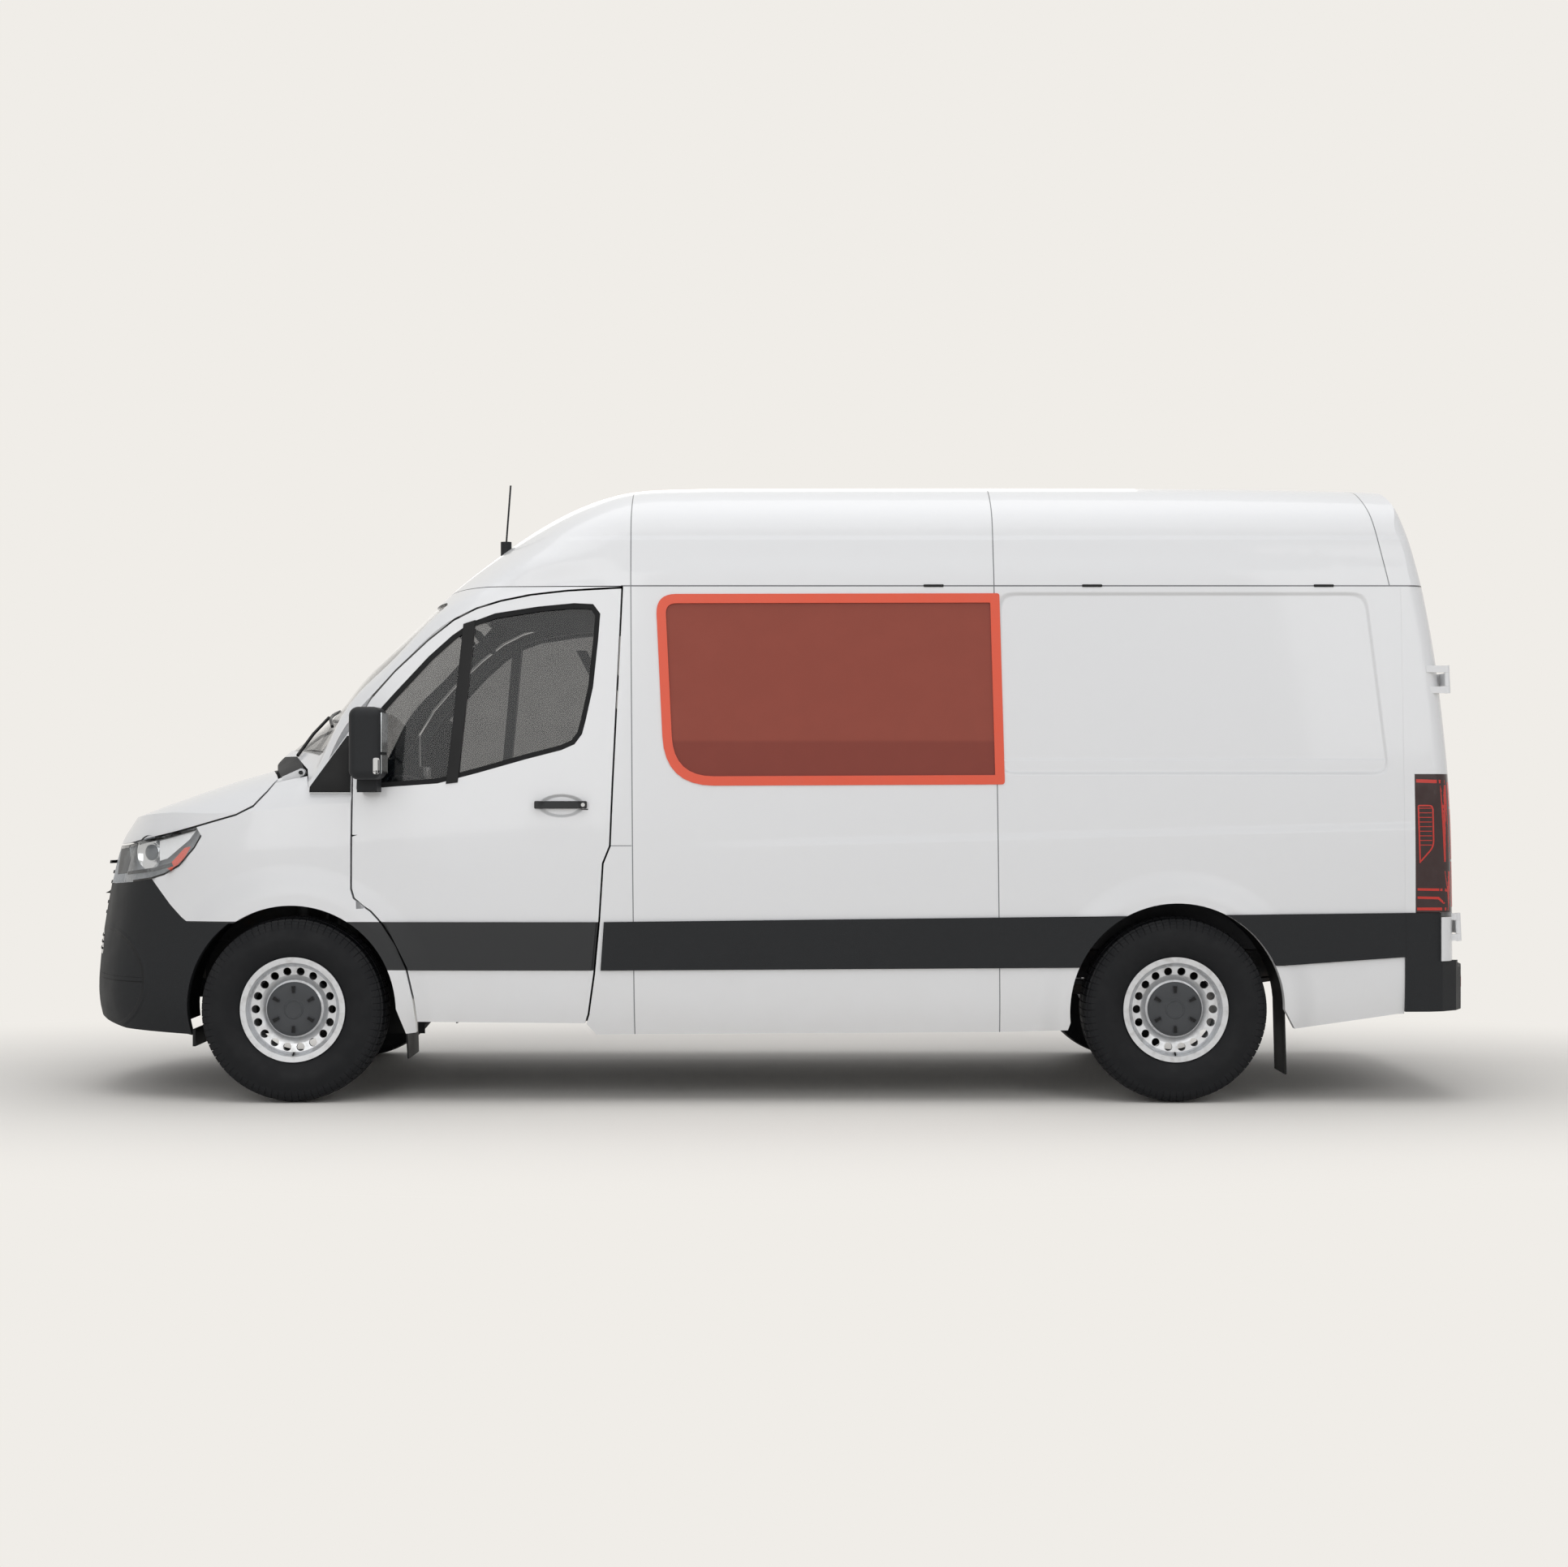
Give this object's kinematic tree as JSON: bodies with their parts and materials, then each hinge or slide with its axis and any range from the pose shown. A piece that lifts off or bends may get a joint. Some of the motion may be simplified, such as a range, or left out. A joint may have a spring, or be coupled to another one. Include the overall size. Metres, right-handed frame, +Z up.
{
  "type": "camper van",
  "caption": "High-roof long panel van made into a camper: white body, black bumpers and bands, orange-framed side windows, hinged doors and bonnet, steering and rolling wheels.",
  "frame": {"origin": "on the ground under the middle of the van's length and width", "axes": "forward is -X, the driver's side is -Y, +Z is up"},
  "size_m": [5.9313, 2.392, 2.6402],
  "materials": {
    "body_paint": "gloss white paint",
    "black_plastic": "fine-grained moulded plastic",
    "clear_glass": "lightly tinted",
    "orange_glass": "orange tint in an orange frame",
    "lamp_clear": "clear lens",
    "lamp_red": "dark red lens",
    "tyre_rubber": "moulded rubber",
    "wheel_steel": "silver paint",
    "chassis_steel": "black underbody paint",
    "cast_metal": "rough cast",
    "exhaust_steel": "heat-stained steel",
    "seat_cloth": "woven seat cloth",
    "trim_plastic": "grained interior plastic"
  },
  "bodies": {
    "body": {"side_panel_left": "body_paint", "side_panel_right": "body_paint", "sliding_door": "body_paint", "roof": "body_paint", "windscreen_frame": "body_paint", "corner_posts": "body_paint", "fenders": "body_paint", "bumpers": "black_plastic", "grille_and_cowl": "black_plastic", "headlights": "lamp_clear", "windscreen": "clear_glass", "side_windows": "orange_glass", "tail_lamps": "lamp_red", "rub_bands": "black_plastic", "floor": "body_paint", "wheel_liners": "black_plastic", "chassis": "chassis_steel", "rear_axle": "cast_metal", "engine": "cast_metal", "prop_shaft": "chassis_steel", "fuel_tank": "black_plastic", "exhaust": "exhaust_steel", "antenna": "black_plastic", "dashboard": "trim_plastic", "seats": "seat_cloth"},
    "bonnet": {"bonnet": "body_paint"},
    "front_door_left": {"front_door_left": "body_paint", "door_glass_left": "clear_glass", "mirror_left": "black_plastic"},
    "rear_door_left": {"rear_door_left": "body_paint"},
    "knuckle_left": {"knuckle_left": "cast_metal"},
    "wheel_front_left": {"rim_front_left": "wheel_steel", "tyre_front_left": "tyre_rubber"},
    "wheel_rear_left": {"rim_rear_left": "wheel_steel", "tyre_rear_left": "tyre_rubber"},
    "front_door_right": {"front_door_right": "body_paint", "door_glass_right": "clear_glass", "mirror_right": "black_plastic"},
    "rear_door_right": {"rear_door_right": "body_paint"},
    "knuckle_right": {"knuckle_right": "cast_metal"},
    "wheel_front_right": {"rim_front_right": "wheel_steel", "tyre_front_right": "tyre_rubber"},
    "wheel_rear_right": {"rim_rear_right": "wheel_steel", "tyre_rear_right": "tyre_rubber"},
    "steering_wheel": {"steering_wheel": "trim_plastic"}
  },
  "joints": [
    {"name": "steering", "type": "hinge", "parent": "body", "child": "steering_wheel", "pos_m": [-1.372, -0.43, 1.236], "axis": [0.5, 0, 0.866], "range_deg": [-528, 528]},
    {"name": "steer_left", "type": "hinge", "parent": "body", "child": "knuckle_left", "pos_m": [-1.962, -0.688, 0.385], "axis": [0, 0, 1], "range_deg": [-33, 33]},
    {"name": "wheel_front_left_spin", "type": "hinge", "parent": "knuckle_left", "child": "wheel_front_left", "pos_m": [-1.962, -0.853, 0.385], "axis": [0, 1, 0], "continuous": true},
    {"name": "wheel_rear_left_spin", "type": "hinge", "parent": "body", "child": "wheel_rear_left", "pos_m": [1.703, -0.853, 0.385], "axis": [0, 1, 0], "continuous": true},
    {"name": "front_door_left_hinge", "type": "hinge", "parent": "body", "child": "front_door_left", "pos_m": [-1.676, -0.975, 1], "axis": [0, 0, -1], "range_deg": [0, 70]},
    {"name": "rear_door_left_hinge", "type": "hinge", "parent": "body", "child": "rear_door_left", "pos_m": [2.875, -0.945, 0.729], "axis": [0.0447, 0, -0.999], "range_deg": [0, 180]},
    {"name": "steer_right", "type": "hinge", "parent": "body", "child": "knuckle_right", "pos_m": [-1.962, 0.688, 0.385], "axis": [0, 0, 1], "range_deg": [-33, 33]},
    {"name": "wheel_front_right_spin", "type": "hinge", "parent": "knuckle_right", "child": "wheel_front_right", "pos_m": [-1.962, 0.853, 0.385], "axis": [0, 1, 0], "continuous": true},
    {"name": "wheel_rear_right_spin", "type": "hinge", "parent": "body", "child": "wheel_rear_right", "pos_m": [1.703, 0.853, 0.385], "axis": [0, 1, 0], "continuous": true},
    {"name": "front_door_right_hinge", "type": "hinge", "parent": "body", "child": "front_door_right", "pos_m": [-1.676, 0.975, 1], "axis": [0, 0, 1], "range_deg": [0, 70]},
    {"name": "rear_door_right_hinge", "type": "hinge", "parent": "body", "child": "rear_door_right", "pos_m": [2.875, 0.945, 0.729], "axis": [-0.0447, 0, 0.999], "range_deg": [0, 180]},
    {"name": "bonnet_hinge", "type": "hinge", "parent": "body", "child": "bonnet", "pos_m": [-1.95, 0, 1.37], "axis": [0, 1, 0], "range_deg": [0, 50]}
  ],
  "couplings": [
    {"joint": "steer_left", "follows": "steering", "ratio": 0.0625},
    {"joint": "steer_right", "follows": "steering", "ratio": 0.0625}
  ]
}
